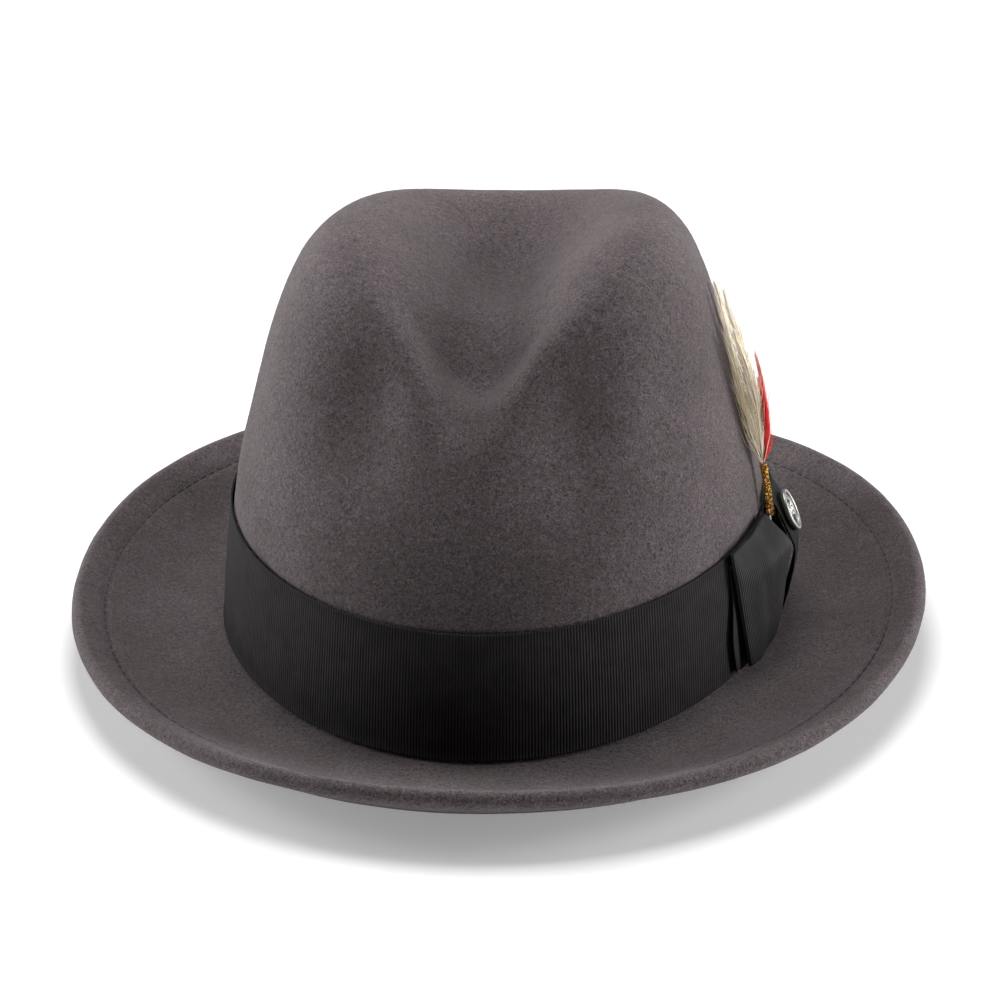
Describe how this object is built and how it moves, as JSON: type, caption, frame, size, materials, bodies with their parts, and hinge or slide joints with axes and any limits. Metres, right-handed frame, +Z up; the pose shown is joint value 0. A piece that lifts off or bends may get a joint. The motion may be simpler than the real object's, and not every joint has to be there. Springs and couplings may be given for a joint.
{
  "type": "felt hat",
  "caption": "Grey wool felt hat with creased and pinched crown, turned-up welted brim, black grosgrain ribbon, side bow, round pin badge and feathers.",
  "frame": {"origin": "table plane under the middle of the hat's outer box", "axes": "+Z up, -Y the front of the hat, +X the wearer's left where the bow is"},
  "size_m": [0.2688, 0.3032, 0.1364],
  "materials": {
    "felt": "short-nap wool felt, warm grey, matt",
    "ribbon": "black grosgrain, fine cross ribs",
    "thread": "dark grey sewing thread",
    "leather": "brown roan leather, satin",
    "satin": "dark grey satin, sheen",
    "silver": "polished raised rim, darker ground",
    "clutch": "plated",
    "tinsel": "gold tinsel thread, glossy",
    "cream_feather": "cream and grey speckled hackle",
    "red_feather": "dyed red hackle, pale tip",
    "label": "blank woven label"
  },
  "bodies": {
    "hat": {"felt_body": "felt", "welt_stitch": "thread", "hat_ribbon": "ribbon", "ribbon_tack_1": "ribbon", "ribbon_tack_2": "ribbon", "ribbon_tack_3": "ribbon", "bow_base": "ribbon", "bow_front_leaf": "ribbon", "bow_rear_leaf": "ribbon", "bow_tail": "ribbon", "bow_knot": "ribbon", "sweatband": "leather", "sweatband_reed": "leather", "sweatband_stitch": "thread", "sweatband_bow": "ribbon", "lining_side": "satin", "lining_tip": "satin", "lining_seam": "satin", "size_label": "label"},
    "feather_bunch": {"feather_cream_1": "cream_feather", "feather_cream_2": "cream_feather", "feather_cream_3": "cream_feather", "feather_red_1": "red_feather", "feather_red_2": "red_feather", "feather_binding": "tinsel"},
    "clutch": {"badge_clutch": "clutch"},
    "badge": {"badge_disc": "silver"}
  },
  "joints": [
    {"name": "feather_slide", "type": "slide", "parent": "hat", "child": "feather_bunch", "axis": [-0.1758, 0.0242, 0.9841], "range_m": [0, 0.04]},
    {"name": "clutch_turn", "type": "hinge", "parent": "hat", "child": "clutch", "pos_m": [0.08853, -0.00213, 0.04198], "axis": [0.9008, -0.0161, 0.4339], "continuous": true},
    {"name": "badge_pull", "type": "slide", "parent": "clutch", "child": "badge", "axis": [0.9008, -0.0161, 0.4339], "range_m": [0, 0.012]}
  ]
}
